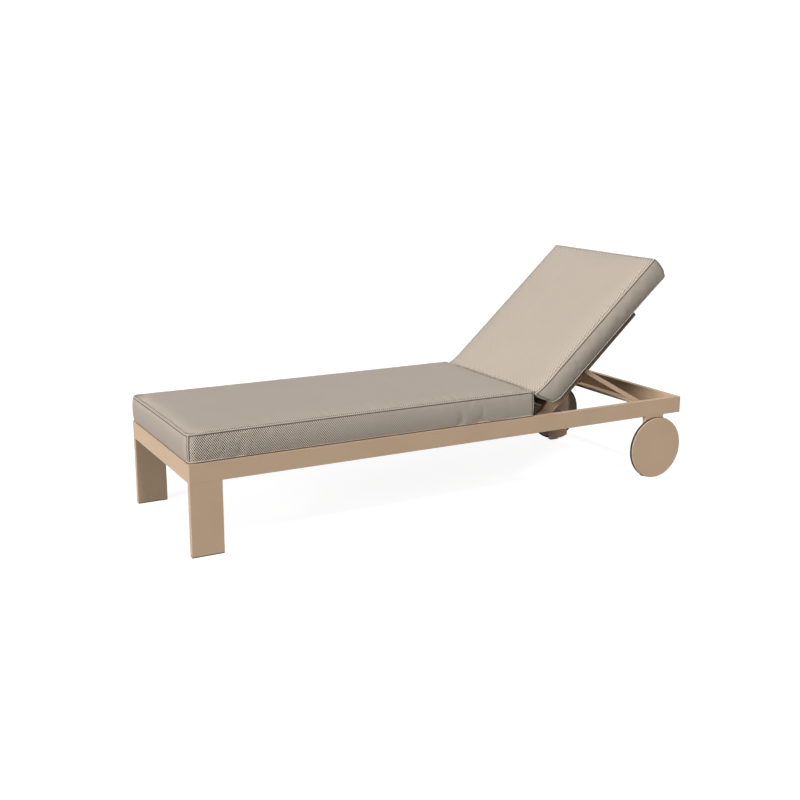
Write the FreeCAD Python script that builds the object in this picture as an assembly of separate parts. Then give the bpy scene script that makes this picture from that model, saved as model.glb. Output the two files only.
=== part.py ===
import FreeCAD, Part
import math
import os

from FreeCAD import Vector

# Wheeled sun lounger: a welded aluminium frame on two plate legs and two wheels, a slatted
# deck, a hinged back held by a prop in notched racks, and a folding two-section mattress.
# Millimetres. X runs from the foot end to the head end, Y across, Z up. The origin is on the
# floor under the middle of the frame. The left side of a person lying on it is at -Y.

# Rails: a hollow extrusion with a lip along the inside of its lower edge, wider at the head end
frame_length = 2000.0
frame_width = 622.0
rail_top = 306.0
rail_height = 62.0
rail_depth = 20.0
rail_wall = 2.5
lip_width = 18.0
head_lip_width = 38.0
lip_thickness = 4.0
key_length = 80.0
key_height = 40.0
push_fit = 0.2

# Legs: flat tubes under the side rails, flush with their outer faces
leg_width = 107.0
rear_leg_width = 86.0
rear_leg_offset = 4.0
leg_depth = 20.0
leg_wall = 2.5
glide_height = 3.0
glide_inset = 0.6
plug_height = 24.0
rear_leg_lift = 3.0
tilt_gap = 7.0

# Wheels outside the rear legs
wheel_from_head = 130.0
wheel_radius = 120.0
tyre_depth = 7.0
tyre_width = 11.0
tyre_round = 2.5
cover_radius = 119.0
cover_thickness = 3.5
cover_round = 1.2
core_lightening_radius = 22.0
core_lightening_count = 6
core_lightening_ring = 68.0
core_web = 3.0
cover_screw_ring = 100.0
cover_screw_count = 4
cover_screw_depth = 2.0
cover_head_pocket = 3.0
axle_radius = 6.0
axle_head_radius = 10.0
axle_head_height = 4.5
axle_pocket_radius = 14.0
axle_pocket_depth = 6.0
axle_nut_radius = 10.0
axle_nut_height = 10.0
axle_tail = 2.0
axle_washer_radius = 13.0
spacer_radius = 11.0
spacer_length = 6.0
bush_wall = 3.0
sleeve_wall = 3.5
washer_thickness = 1.5
side_play = 0.3
running_fit = 0.05
press_gap = 0.02

# Slatted deck on angle ledges
slat_count = 12
slat_width = 70.0
slat_thickness = 14.0
slat_wall = 1.6
slat_end_gap = 0.5
deck_front_gap = 10.0
deck_rear_gap = 8.0
ledge_width = 25.0
ledge_drop = 25.0
ledge_thickness = 3.0
ledge_screw_count = 6
slat_screw_inset = 15.0

# Small screws, all one size
screw_radius = 2.0
screw_head_radius = 4.0
screw_head_height = 2.5
screw_tail = 5.0
screw_clearance = 0.15

# Mattress in two sections that fold on a sewn strip
seat_front_gap = 1.0
fold_gap = 19.0
seat_side_height = 93.7
seat_crown = 14.0
back_side_height = 84.4
back_length = 682.0
back_crown = 16.0
cushion_inset = 4.0
cushion_draw_in = 4.0
cushion_bulge = 4.0
station_shares = (0.0, 0.08, 0.3, 0.7, 0.92, 1.0)
end_crown_share = 0.2
soft_gap = 0.3

# Back frame on its hinge
back_tilt_degrees = 42.0
hinge_z = 280.0
bar_depth = 44.0
bar_width = 18.0
bar_wall = 2.0
bar_lower_end = 20.0
bar_length = 557.0
bar_offset = 20.0
bar_cap = 3.0
bar_cap_stub = 6.0
back_slat_count = 5
back_slat_first = 80.0
back_slat_last = 515.0
boss_flange_radius = 22.0
boss_flange_thickness = 4.0
boss_radius = 11.0
boss_screw_ring = 15.0
hinge_pin_radius = 6.0
hinge_bush_wall = 2.0
hinge_cap_radius = 9.0
hinge_cap_height = 4.0
hinge_cap_shank_radius = 3.0
hinge_cap_shank = 12.0

# Prop that holds the back up, and the racks for its foot rod
prop_along = 251.0
prop_below = 2.0
prop_reach = 352.0
prop_width = 16.0
prop_thickness = 6.0
prop_rail_gap = 10.0
prop_pin_radius = 5.0
prop_pin_head_radius = 8.0
prop_pin_head_height = 4.5
prop_pin_nut_radius = 8.0
prop_pin_nut_height = 8.0
prop_spacer_wall = 3.0
rod_radius = 6.0
rod_end_gap = 2.0
rack_height = 21.0
rack_play = 0.5
rack_arm_gap = 0.5
rack_before = 24.0
rack_after = 9.5
rack_head_gap = 8.0
rack_screw_inset = 12.0
notch_count = 3
notch_pitch = 32.0
notch_radius = 8.0
notch_depth = 3.0

# Buffers that the back frame lies on when it is flat
stop_from_head = 300.0
stop_length = 40.0
stop_gap = 0.3

# Holes run this far past the faces that they open
overrun = 1.0

half_length = frame_length / 2
wheel_x = half_length - wheel_from_head
stop_x = half_length - stop_from_head
half_width = frame_width / 2
rail_bottom = rail_top - rail_height
inner_face = -(half_width - rail_depth)
lip_top = rail_bottom + lip_thickness
deck_bottom = rail_top - slat_thickness
fold_z = rail_top + soft_gap + back_side_height
crest = lip_top + rack_height
foot_rest_z = crest + rack_play + rod_radius
flat_fall = math.asin((hinge_z - prop_below - foot_rest_z) / prop_reach)
rack_x1 = half_length - rail_depth - rack_head_gap
foot_flat_x = rack_x1 - rack_after
hinge_x = foot_flat_x - prop_reach * math.cos(flat_fall) - prop_along
fold_x = hinge_x - (fold_z - hinge_z) * math.tan(math.radians(back_tilt_degrees / 2))
seat_rear = fold_x - fold_gap
screw_hole = screw_radius + screw_clearance
bar_outer = inner_face + bar_offset
bar_inner = bar_outer + bar_width
along_y = Vector(0, 1, 0)
along_z = Vector(0, 0, 1)
made = {}


def block(x0, x1, y0, y1, z0, z1):
    return Part.makeBox(x1 - x0, y1 - y0, z1 - z0, Vector(x0, y0, z0))


def rod_y(x, z, y0, y1, radius):
    return Part.makeCylinder(radius, y1 - y0, Vector(x, y0, z), along_y)


def screw(seat, inward, length):
    shank = Part.makeCylinder(screw_radius, length, seat, inward)
    head = Part.makeCylinder(screw_head_radius, screw_head_height, seat, inward * -1)
    return shank.fuse(head).removeSplitter()


def screw_bore(seat, inward, length):
    return Part.makeCylinder(screw_hole, length + overrun, seat - inward * overrun, inward)


def other_side(shape):
    return shape.mirror(Vector(0, 0, 0), along_y)


def raised(shape, x, z, degrees):
    turned = shape.copy()
    turned.rotate(Vector(x, 0, z), Vector(0, -1, 0), degrees)
    return turned


def turned_point(x, z, degrees):
    angle = math.radians(degrees)
    return (x * math.cos(angle) - z * math.sin(angle), x * math.sin(angle) + z * math.cos(angle))


def keep(name, shape):
    made[name] = shape


def keep_pair(name, left):
    keep(name + "_left", left)
    keep(name + "_right", other_side(left))


def keep_group(name, solids):
    keep(name, Part.makeCompound(solids))


# Rail sections: the tube with its lip, one along X and one along Y, mitred at the corners
def mitre_prism(outer_a, outer_b, inner_a, inner_b):
    corners = [outer_a, outer_b, inner_b, inner_a, outer_a]
    outline = Part.makePolygon([Vector(x, y, rail_bottom - overrun) for x, y in corners])
    return Part.Face(outline).extrude(Vector(0, 0, rail_height + 2 * overrun))


rail_reach = rail_depth + lip_width

side_tube = block(-half_length, half_length, -half_width, inner_face, rail_bottom, rail_top)
side_lip = block(-half_length, half_length, inner_face, inner_face + lip_width, rail_bottom, lip_top)
side_core = block(-half_length, half_length, -half_width + rail_wall, inner_face - rail_wall,
                  rail_bottom + rail_wall, rail_top - rail_wall)
side_plan = mitre_prism((-half_length, -half_width), (half_length, -half_width),
                        (-half_length + rail_reach, -half_width + rail_reach),
                        (half_length - rail_reach, -half_width + rail_reach))
side_rail = side_tube.fuse(side_lip).removeSplitter().cut(side_core).common(side_plan)

end_inner = -half_length + rail_depth
end_tube = block(-half_length, end_inner, -half_width, half_width, rail_bottom, rail_top)
end_lip = block(end_inner, end_inner + lip_width, -half_width, half_width, rail_bottom, lip_top)
end_core = block(-half_length + rail_wall, end_inner - rail_wall, -half_width, half_width,
                 rail_bottom + rail_wall, rail_top - rail_wall)
end_plan = mitre_prism((-half_length, -half_width), (-half_length, half_width),
                       (-half_length + rail_reach, -half_width + rail_reach),
                       (-half_length + rail_reach, half_width - rail_reach))
foot_rail = end_tube.fuse(end_lip).removeSplitter().cut(end_core).common(end_plan)
keep("foot_rail", foot_rail)
head_lip = block(half_length - rail_depth - head_lip_width, half_length - rail_reach,
                 inner_face + lip_width, -inner_face - lip_width, rail_bottom, lip_top)
head_rail = foot_rail.mirror(Vector(0, 0, 0), Vector(1, 0, 0)).fuse(head_lip).removeSplitter()
keep("head_rail", head_rail)

# Corner keys: angle pieces pushed into the hollow rails at the mitres
key_inset = rail_wall + push_fit
key_thickness = rail_depth - 2 * key_inset
key_low = rail_top - rail_wall - push_fit - key_height
key_x = -half_length + key_inset
key_y = -half_width + key_inset
key_along = block(key_x, key_x + key_length, key_y, key_y + key_thickness, key_low, key_low + key_height)
key_across = block(key_x, key_x + key_thickness, key_y, key_y + key_length, key_low, key_low + key_height)
foot_key = key_along.fuse(key_across).removeSplitter()
head_key = foot_key.mirror(Vector(0, 0, 0), Vector(1, 0, 0))
keep_group("corner_keys", [foot_key, other_side(foot_key), head_key, other_side(head_key)])


# Legs: flat tubes with plugs in their lower ends
def leg_tube(x0, x1, low):
    y0 = -half_width
    shell = block(x0, x1, y0, y0 + leg_depth, low, rail_bottom)
    hollow = block(x0 + leg_wall, x1 - leg_wall, y0 + leg_wall, y0 + leg_depth - leg_wall,
                   low, rail_bottom)
    return shell.cut(hollow)


def leg_plug(x0, x1, low):
    y0 = -half_width
    sole = block(x0 + glide_inset, x1 - glide_inset, y0 + glide_inset,
                 y0 + leg_depth - glide_inset, low, low + glide_height)
    gap = leg_wall + push_fit
    stub = block(x0 + gap, x1 - gap, y0 + gap, y0 + leg_depth - gap,
                 low + glide_height, low + glide_height + plug_height)
    return sole.fuse(stub).removeSplitter()


front_leg_x1 = -half_length + leg_width
keep_pair("front_leg", leg_tube(-half_length, front_leg_x1, glide_height))
keep_pair("foot_glide", leg_plug(-half_length, front_leg_x1, 0))

# Rear legs: behind the axle they end in an arc about it, and so clear the floor when the foot
# end is lifted to wheel the lounger away
rear_leg_x0 = wheel_x + rear_leg_offset - rear_leg_width / 2
rear_leg_x1 = rear_leg_x0 + rear_leg_width
leg_inner = -half_width + leg_depth
axle_hole = rod_y(wheel_x, wheel_radius, -half_width - overrun, leg_inner + overrun,
                  axle_radius + running_fit)
tilt_room = block(wheel_x, rear_leg_x1 + overrun, -half_width - overrun, leg_inner + overrun,
                  0, wheel_radius)
tilt_room = tilt_room.cut(rod_y(wheel_x, wheel_radius, -half_width - overrun, leg_inner + overrun,
                                wheel_radius - tilt_gap))
rear_leg = leg_tube(rear_leg_x0, rear_leg_x1, rear_leg_lift + glide_height)
keep_pair("rear_leg", rear_leg.cut(axle_hole).cut(tilt_room))
keep_pair("rear_leg_cap", leg_plug(rear_leg_x0, rear_leg_x1, rear_leg_lift).cut(tilt_room))

# Axles: a bolt through the rear leg, with a crush sleeve inside the tube and a spacer outside
spacer_start = -half_width - washer_thickness
spacer_end = spacer_start - spacer_length
core_inner_face = spacer_end - side_play
core_outer_face = core_inner_face - tyre_width
pocket_floor = core_outer_face + axle_pocket_depth
head_seat = pocket_floor - side_play
nut_start = leg_inner + washer_thickness
axle_end = nut_start + axle_nut_height + axle_tail
axle_head = rod_y(wheel_x, wheel_radius, head_seat - axle_head_height, head_seat, axle_head_radius)
axle_shank = rod_y(wheel_x, wheel_radius, head_seat, axle_end, axle_radius)
keep_pair("axle_bolt", axle_shank.fuse(axle_head).removeSplitter())


def ring_y(x, z, y0, y1, outer, inner):
    return rod_y(x, z, y0, y1, outer).cut(rod_y(x, z, y0, y1, inner))


def hex_y(x, z, y0, y1, radius):
    corners = []
    for k in range(7):
        angle = math.radians(60 * k)
        corners.append(Vector(x + radius * math.cos(angle), y0, z + radius * math.sin(angle)))
    return Part.Face(Part.makePolygon(corners)).extrude(Vector(0, y1 - y0, 0))


axle_bore = axle_radius + running_fit
sleeve = ring_y(wheel_x, wheel_radius, -half_width + leg_wall + push_fit, leg_inner - leg_wall - push_fit,
                axle_radius + sleeve_wall, axle_bore)
outer_washer = ring_y(wheel_x, wheel_radius, -half_width - washer_thickness, -half_width,
                      axle_washer_radius, axle_bore)
inner_washer = ring_y(wheel_x, wheel_radius, leg_inner, nut_start, axle_washer_radius, axle_bore)
spacer = ring_y(wheel_x, wheel_radius, spacer_end, spacer_start, spacer_radius, axle_bore)
axle_nut = hex_y(wheel_x, wheel_radius, nut_start, nut_start + axle_nut_height, axle_nut_radius)
axle_nut = axle_nut.cut(rod_y(wheel_x, wheel_radius, nut_start, nut_start + axle_nut_height, axle_bore))
keep_group("axle_sleeves", [sleeve, other_side(sleeve)])
axle_washers = [outer_washer, inner_washer]
keep_group("axle_washers", axle_washers + [other_side(w) for w in axle_washers])
keep_group("axle_nuts", [axle_nut, other_side(axle_nut)])
keep_group("wheel_spacers", [spacer, other_side(spacer)])

# Wheels: a ribbed core on a plain bush, a thin rubber tyre and a flat cover disc outside
core_radius = wheel_radius - tyre_depth
bush_radius = axle_radius + running_fit + bush_wall


def around_axle(ring, count, index):
    angle = math.radians(45 + 360 * index / count)
    return (wheel_x + ring * math.cos(angle), wheel_radius + ring * math.sin(angle))


core = rod_y(wheel_x, wheel_radius, core_outer_face, core_inner_face, core_radius)
core = core.cut(rod_y(wheel_x, wheel_radius, core_outer_face, core_inner_face, bush_radius + press_gap))
core = core.cut(rod_y(wheel_x, wheel_radius, core_outer_face, pocket_floor, axle_pocket_radius))
for k in range(core_lightening_count):
    pocket_x, pocket_z = around_axle(core_lightening_ring, core_lightening_count, k)
    core = core.cut(rod_y(pocket_x, pocket_z, core_outer_face, core_inner_face - core_web,
                          core_lightening_radius))
cover = rod_y(wheel_x, wheel_radius, core_outer_face - cover_thickness, core_outer_face, cover_radius)
cover_middle = core_outer_face - cover_thickness / 2
rim_edges = [e for e in cover.Edges
             if e.Curve.TypeId == "Part::GeomCircle" and e.BoundBox.YMax < cover_middle]
cover = cover.makeFillet(cover_round, rim_edges)
cover_screws = []
for k in range(cover_screw_count):
    screw_x, screw_z = around_axle(cover_screw_ring, cover_screw_count, k)
    head_floor = core_inner_face - cover_head_pocket
    seat = Vector(screw_x, head_floor, screw_z)
    outward = Vector(0, -1, 0)
    length = head_floor - core_outer_face + cover_screw_depth
    core = core.cut(screw_bore(seat, outward, head_floor - core_outer_face))
    core = core.cut(rod_y(screw_x, screw_z, head_floor, core_inner_face,
                          screw_head_radius + screw_clearance))
    cover = cover.cut(screw_bore(seat, outward, length + screw_clearance))
    cover_screws.append(screw(seat, outward, length))
tyre = ring_y(wheel_x, wheel_radius, core_outer_face, core_inner_face, wheel_radius,
              core_radius + press_gap)
tread_edges = [e for e in tyre.Edges
               if e.Curve.TypeId == "Part::GeomCircle" and e.Curve.Radius > wheel_radius - tyre_depth / 2]
tyre = tyre.makeFillet(tyre_round, tread_edges)
bush = ring_y(wheel_x, wheel_radius, pocket_floor, core_inner_face, bush_radius, axle_bore)
keep_pair("wheel_core", core)
keep_pair("wheel_cover", cover)
keep_pair("tyre", tyre)
keep_pair("wheel_bush", bush)
keep_pair("cover_screws", Part.makeCompound(cover_screws))

# Deck: slats across the frame, screwed from below to angle ledges on the side rails
deck_front = -half_length + rail_depth + deck_front_gap
deck_rear = seat_rear - deck_rear_gap
slat_first = deck_front + slat_width / 2
slat_pitch = (deck_rear - deck_front - slat_width) / (slat_count - 1)
slat_end = inner_face + slat_end_gap
ledge_flat = block(deck_front, deck_rear, inner_face, inner_face + ledge_width,
                   deck_bottom - ledge_thickness, deck_bottom)
ledge_upright = block(deck_front, deck_rear, inner_face, inner_face + ledge_thickness,
                      deck_bottom - ledge_drop, deck_bottom)
ledge = ledge_flat.fuse(ledge_upright).removeSplitter()


def slat(x, z_top, y0, y1):
    outside = block(x - slat_width / 2, x + slat_width / 2, y0, y1, z_top - slat_thickness, z_top)
    inside = block(x - slat_width / 2 + slat_wall, x + slat_width / 2 - slat_wall, y0, y1,
                   z_top - slat_thickness + slat_wall, z_top - slat_wall)
    return outside.cut(inside)


seat_slats = []
slat_screws = []
slat_screw_y = inner_face + slat_screw_inset
for k in range(slat_count):
    x = slat_first + k * slat_pitch
    seat = Vector(x, slat_screw_y, deck_bottom - ledge_thickness)
    length = ledge_thickness + slat_wall + screw_tail
    hole = screw_bore(seat, along_z, ledge_thickness + slat_wall + overrun)
    ledge = ledge.cut(hole)
    seat_slats.append(slat(x, rail_top, slat_end, -slat_end).cut(hole).cut(other_side(hole)))
    left_screw = screw(seat, along_z, length)
    slat_screws += [left_screw, other_side(left_screw)]
ledge_screws = []
ledge_screw_first = slat_first + slat_pitch / 2
ledge_screw_last = slat_first + (slat_count - 1) * slat_pitch - slat_pitch / 2
ledge_screw_z = deck_bottom - (ledge_drop + ledge_thickness) / 2
for k in range(ledge_screw_count):
    x = ledge_screw_first + k * (ledge_screw_last - ledge_screw_first) / (ledge_screw_count - 1)
    seat = Vector(x, inner_face + ledge_thickness, ledge_screw_z)
    outward = Vector(0, -1, 0)
    length = ledge_thickness + rail_wall + screw_tail
    hole = screw_bore(seat, outward, length)
    ledge = ledge.cut(hole)
    side_rail = side_rail.cut(hole)
    left_screw = screw(seat, outward, length)
    ledge_screws += [left_screw, other_side(left_screw)]
keep_pair("slat_ledge", ledge)
keep_group("seat_slats", seat_slats)
keep_group("slat_screws", slat_screws)
keep_group("ledge_screws", ledge_screws)

# Back hinge: a turned boss screwed inside each rail, whose pin carries the back frame
boss_end = bar_outer - washer_thickness - side_play
pin_end = bar_inner + side_play + washer_thickness
flange_face = inner_face + boss_flange_thickness
boss = rod_y(hinge_x, hinge_z, inner_face, flange_face, boss_flange_radius)
boss = boss.fuse(rod_y(hinge_x, hinge_z, flange_face, boss_end, boss_radius))
boss = boss.fuse(rod_y(hinge_x, hinge_z, boss_end, pin_end, hinge_pin_radius)).removeSplitter()
cap_hole = hinge_cap_shank_radius + running_fit
boss = boss.cut(rod_y(hinge_x, hinge_z, pin_end - hinge_cap_shank - overrun, pin_end, cap_hole))
boss_screws = []
for sign in (-1, 1):
    seat = Vector(hinge_x + sign * boss_screw_ring, flange_face, hinge_z)
    outward = Vector(0, -1, 0)
    length = boss_flange_thickness + rail_wall + screw_tail
    hole = screw_bore(seat, outward, length)
    boss = boss.cut(hole)
    side_rail = side_rail.cut(hole)
    left_screw = screw(seat, outward, length)
    boss_screws += [left_screw, other_side(left_screw)]
pin_bore = hinge_pin_radius + running_fit
outer_hinge_washer = ring_y(hinge_x, hinge_z, boss_end, boss_end + washer_thickness, boss_radius, pin_bore)
inner_hinge_washer = ring_y(hinge_x, hinge_z, pin_end - washer_thickness, pin_end, boss_radius, pin_bore)
hinge_cap = rod_y(hinge_x, hinge_z, pin_end, pin_end + hinge_cap_height, hinge_cap_radius)
hinge_cap_stem = rod_y(hinge_x, hinge_z, pin_end - hinge_cap_shank, pin_end, hinge_cap_shank_radius)
hinge_cap = hinge_cap.fuse(hinge_cap_stem).removeSplitter()
hinge_washers = [outer_hinge_washer, inner_hinge_washer]
keep_pair("hinge_boss", boss)
keep_group("boss_screws", boss_screws)
keep_group("hinge_washers", hinge_washers + [other_side(w) for w in hinge_washers])
keep_group("hinge_caps", [hinge_cap, other_side(hinge_cap)])


# Back frame: two deep side tubes with slats between them, drawn flat and then raised
def back_up(shape):
    return raised(shape, hinge_x, hinge_z, back_tilt_degrees)


bar_x0 = hinge_x - bar_lower_end
bar_x1 = hinge_x + bar_length
bar_low = rail_top - bar_depth
bar = block(bar_x0 + bar_cap, bar_x1 - bar_cap, bar_outer, bar_inner, bar_low, rail_top)
bar = bar.cut(block(bar_x0, bar_x1, bar_outer + bar_wall, bar_inner - bar_wall,
                    bar_low + bar_wall, rail_top - bar_wall))
hinge_bush_radius = pin_bore + hinge_bush_wall
hinge_bush = ring_y(hinge_x, hinge_z, bar_outer, bar_inner, hinge_bush_radius, pin_bore)
bar = bar.cut(rod_y(hinge_x, hinge_z, bar_outer, bar_inner, hinge_bush_radius + press_gap))
prop_x = hinge_x + prop_along
prop_z = hinge_z - prop_below
prop_bolt_hole = prop_pin_radius + running_fit
bar = bar.cut(rod_y(prop_x, prop_z, bar_outer, bar_inner, prop_bolt_hole))
keep_pair("back_bar", back_up(bar))
keep_group("hinge_bushes", [back_up(hinge_bush), back_up(other_side(hinge_bush))])


def bar_end_cap(end, sign):
    plate = block(min(end, end + sign * bar_cap), max(end, end + sign * bar_cap),
                  bar_outer, bar_inner, bar_low, rail_top)
    start = end + sign * bar_cap
    gap = bar_wall + push_fit
    reach = start + sign * bar_cap_stub
    stub = block(min(start, reach), max(start, reach), bar_outer + gap, bar_inner - gap,
                 bar_low + gap, rail_top - gap)
    return back_up(plate.fuse(stub).removeSplitter())


bar_caps = [bar_end_cap(bar_x0, 1), bar_end_cap(bar_x1, -1)]
keep_group("bar_caps", bar_caps + [other_side(c) for c in bar_caps])

back_slat_pitch = (back_slat_last - back_slat_first) / (back_slat_count - 1)
back_slats = []
for k in range(back_slat_count):
    x = hinge_x + back_slat_first + k * back_slat_pitch
    back_slats.append(back_up(slat(x, rail_top, bar_inner, -bar_inner)))
keep_group("back_slats", back_slats)

# Prop pivots: a bolt through each back tube, with a spacer between the tube and the prop arm
arm_outer = inner_face + prop_rail_gap
arm_inner = arm_outer + prop_thickness
prop_spacer = ring_y(prop_x, prop_z, arm_inner + side_play, bar_outer,
                     prop_pin_radius + prop_spacer_wall, prop_bolt_hole)
bolt_seat = arm_outer - side_play
prop_bolt = rod_y(prop_x, prop_z, bolt_seat - prop_pin_head_height, bolt_seat, prop_pin_head_radius)
prop_bolt_end = bar_inner + prop_pin_nut_height + axle_tail
prop_bolt_shank = rod_y(prop_x, prop_z, bolt_seat, prop_bolt_end, prop_pin_radius)
prop_bolt = prop_bolt.fuse(prop_bolt_shank).removeSplitter()
prop_nut = hex_y(prop_x, prop_z, bar_inner, bar_inner + prop_pin_nut_height, prop_pin_nut_radius)
prop_nut = prop_nut.cut(rod_y(prop_x, prop_z, bar_inner, bar_inner + prop_pin_nut_height, prop_bolt_hole))
keep_group("prop_spacers", [back_up(prop_spacer), back_up(other_side(prop_spacer))])
keep_group("prop_bolts", [back_up(prop_bolt), back_up(other_side(prop_bolt))])
keep_group("prop_nuts", [back_up(prop_nut), back_up(other_side(prop_nut))])

# Prop: two flat arms joined by a foot rod, drawn along X and then turned down from the pivots
pivot_dx, pivot_dz = turned_point(prop_along, -prop_below, back_tilt_degrees)
pivot_x = hinge_x + pivot_dx
pivot_z = hinge_z + pivot_dz
prop_fall = math.asin((pivot_z - foot_rest_z) / prop_reach)
prop_fall_degrees = math.degrees(prop_fall)


def prop_down(shape):
    return raised(shape, pivot_x, pivot_z, -prop_fall_degrees)


foot_x = pivot_x + prop_reach
arm = block(pivot_x, foot_x, arm_outer, arm_inner, pivot_z - prop_width / 2, pivot_z + prop_width / 2)
for x in (pivot_x, foot_x):
    arm = arm.fuse(rod_y(x, pivot_z, arm_outer, arm_inner, prop_width / 2))
arm = arm.removeSplitter()
arm = arm.cut(rod_y(pivot_x, pivot_z, arm_outer, arm_inner, prop_bolt_hole))
arm = arm.cut(rod_y(foot_x, pivot_z, arm_outer, arm_inner, rod_radius + press_gap))
rod_end = inner_face + rod_end_gap
keep_pair("prop_arm", prop_down(arm))
keep("prop_rod", prop_down(rod_y(foot_x, pivot_z, rod_end, -rod_end, rod_radius)))

# Racks: notched bars inside the rails that the foot rod lies on
foot_rest_x = pivot_x + prop_reach * math.cos(prop_fall)
rack_inner = arm_outer - rack_arm_gap
rack_x0 = foot_rest_x - rack_before
rack = block(rack_x0, rack_x1, inner_face, rack_inner, lip_top, crest)
for k in range(notch_count):
    x = foot_rest_x + k * notch_pitch
    rack = rack.cut(rod_y(x, crest + notch_radius - notch_depth, inner_face, rack_inner, notch_radius))
rack_screws = []
rack_screw_z = lip_top + screw_head_radius + screw_clearance
for x in (rack_x0 + rack_screw_inset, rack_x1 - rack_screw_inset):
    seat = Vector(x, rack_inner - screw_head_height, rack_screw_z)
    outward = Vector(0, -1, 0)
    length = rack_inner - screw_head_height - inner_face + rail_wall + screw_tail
    hole = screw_bore(seat, outward, length)
    rack = rack.cut(hole)
    rack = rack.cut(rod_y(x, rack_screw_z, rack_inner - screw_head_height, rack_inner,
                          screw_head_radius + screw_clearance))
    side_rail = side_rail.cut(hole)
    left_screw = screw(seat, outward, length)
    rack_screws += [left_screw, other_side(left_screw)]
keep_pair("prop_rack", rack)
keep_group("rack_screws", rack_screws)

# Back stops: rubber blocks on the rail lips, screwed from below
stop_low = lip_top
stop_top = bar_low - stop_gap
back_stop = block(stop_x, stop_x + stop_length, inner_face, bar_inner, stop_low, stop_top)
stop_seat = Vector(stop_x + stop_length / 2, inner_face + lip_width / 2, rail_bottom)
stop_length_in = lip_thickness + screw_tail
stop_hole = screw_bore(stop_seat, along_z, stop_length_in + screw_clearance)
back_stop = back_stop.cut(stop_hole)
side_rail = side_rail.cut(stop_hole)
stop_screw = screw(stop_seat, along_z, stop_length_in)
keep_pair("back_stop", back_stop)
keep_group("stop_screws", [stop_screw, other_side(stop_screw)])
keep_pair("side_rail", side_rail)


# Mattress sections: boxed cushions with a crowned top, drawn in a little along the sides
def cushion(x0, x1, low, side_height, crown):
    wires = []
    for share in station_shares:
        fullness = 1 - abs(2 * share - 1) ** 3
        half = half_width - cushion_inset - cushion_draw_in * fullness
        rise = crown * (end_crown_share + (1 - end_crown_share) * fullness)
        x = x0 + share * (x1 - x0)
        high = low + side_height
        middle = low + side_height / 2
        left_low = Vector(x, -half, low)
        left_high = Vector(x, -half, high)
        right_low = Vector(x, half, low)
        right_high = Vector(x, half, high)
        base = Part.LineSegment(left_low, right_low)
        right = Part.Arc(right_low, Vector(x, half + cushion_bulge, middle), right_high)
        top = Part.Arc(right_high, Vector(x, 0, high + rise), left_high)
        left = Part.Arc(left_high, Vector(x, -half - cushion_bulge, middle), left_low)
        wires.append(Part.Wire([edge.toShape() for edge in (base, right, top, left)]))
    return Part.makeLoft(wires, True, False, False)


mattress_low = rail_top + soft_gap
seat_front = -half_length + seat_front_gap
keep("seat_cushion", cushion(seat_front, seat_rear, mattress_low, seat_side_height, seat_crown))
back_cushion = cushion(fold_x, fold_x + back_length, mattress_low, back_side_height, back_crown)
keep("back_cushion", raised(back_cushion, fold_x, fold_z, back_tilt_degrees))

os.makedirs("parts", exist_ok=True)
for name, shape in made.items():
    shape.exportStep("parts/" + name + ".step")

prop_turn_degrees = back_tilt_degrees + prop_fall_degrees - math.degrees(flat_fall)
print("nodes", len(made), "valid", all(shape.isValid() for shape in made.values()))
print("hinge", round(hinge_x, 4), hinge_z, "fold", round(fold_x, 4), round(fold_z, 4))
print("prop pivot", round(pivot_x, 4), round(pivot_z, 4))
print("foot rod", round(foot_rest_x, 2), round(foot_rest_z, 2))
print("flat foot", round(foot_flat_x, 2), "prop turn", round(prop_turn_degrees, 4),
      "ratio", round(prop_turn_degrees / back_tilt_degrees, 6))
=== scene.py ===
import math

import bmesh
import bpy
import numpy as np
from mathutils import Matrix, Vector


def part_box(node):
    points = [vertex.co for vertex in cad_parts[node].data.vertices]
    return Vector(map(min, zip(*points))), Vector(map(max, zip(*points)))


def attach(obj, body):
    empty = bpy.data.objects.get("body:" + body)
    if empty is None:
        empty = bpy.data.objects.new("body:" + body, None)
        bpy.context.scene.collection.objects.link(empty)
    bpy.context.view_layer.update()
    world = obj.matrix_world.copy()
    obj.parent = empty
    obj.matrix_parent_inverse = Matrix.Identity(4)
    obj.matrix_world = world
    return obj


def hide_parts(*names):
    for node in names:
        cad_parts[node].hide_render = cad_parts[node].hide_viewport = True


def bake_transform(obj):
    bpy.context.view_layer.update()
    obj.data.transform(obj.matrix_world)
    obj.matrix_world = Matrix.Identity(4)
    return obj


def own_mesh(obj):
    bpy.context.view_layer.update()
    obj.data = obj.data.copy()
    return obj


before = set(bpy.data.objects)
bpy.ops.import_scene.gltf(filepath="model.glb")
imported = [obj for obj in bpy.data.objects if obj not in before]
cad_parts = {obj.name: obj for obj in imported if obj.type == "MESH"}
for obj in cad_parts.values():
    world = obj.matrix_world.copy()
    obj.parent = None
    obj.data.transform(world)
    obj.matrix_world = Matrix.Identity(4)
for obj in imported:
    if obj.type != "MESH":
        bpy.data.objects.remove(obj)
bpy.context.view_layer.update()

# Wheeled sun lounger: a coated aluminium frame with a slatted deck, two wheels and a back that is
# propped up in notches, and a folding mattress of two boxed sections in woven cloth.


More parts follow.
